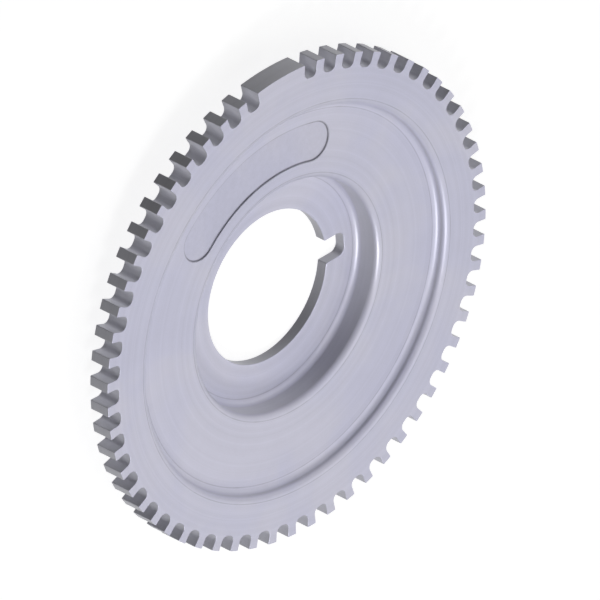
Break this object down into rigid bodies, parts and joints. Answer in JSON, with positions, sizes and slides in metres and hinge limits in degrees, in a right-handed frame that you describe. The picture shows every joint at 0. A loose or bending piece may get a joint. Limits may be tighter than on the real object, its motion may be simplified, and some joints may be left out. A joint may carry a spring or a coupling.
{
  "type": "reluctor wheel",
  "caption": "Steel timing disc with evenly spaced square teeth and one long tooth round its rim, a dished web with a shallow curved pocket, and a keyed centre bore in a sunken hub plate.",
  "frame": {"origin": "centre of the bore on the back face of the hub plate, which is the face that the wheel lies on", "axes": "+Z along the bore axis, out of the dished side; the keyway points to +Y and the middle of the long tooth to -X"},
  "size_m": [0.16, 0.16, 0.0162],
  "materials": {
    "steel": "fine turned satin, with a cool grey tone"
  },
  "bodies": {
    "root": {"reluctor_wheel": "steel"}
  },
  "joints": []
}
